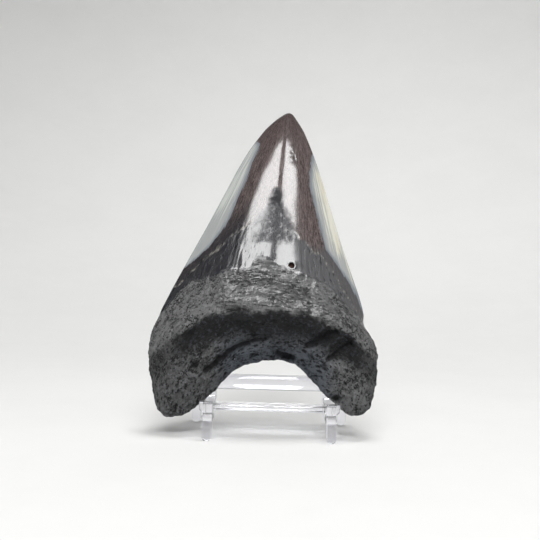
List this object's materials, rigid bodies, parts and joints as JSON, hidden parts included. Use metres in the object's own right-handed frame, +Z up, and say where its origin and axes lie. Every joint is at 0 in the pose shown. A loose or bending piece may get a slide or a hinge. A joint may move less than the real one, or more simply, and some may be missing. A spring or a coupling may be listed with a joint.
{
  "type": "fossil shark tooth on display easel",
  "caption": "Large fossil megalodon tooth, polished dark crown and rough forked root, leaning upright on a small clear display easel.",
  "frame": {"origin": "middle of the bounding box, on the surface that the easel's feet stand on", "axes": "+Z up; -Y is the side that the tooth's display face looks towards; +X to the right seen from the front"},
  "size_m": [0.0864, 0.042, 0.1253],
  "materials": {
    "fossil_tooth": "polished crown, rough satin root",
    "clear_acrylic": "clear, glossy, faint violet tint"
  },
  "bodies": {
    "root": {"tooth": "fossil_tooth", "easel_front_frame": "clear_acrylic", "easel_rear_strut": "clear_acrylic"}
  },
  "joints": []
}
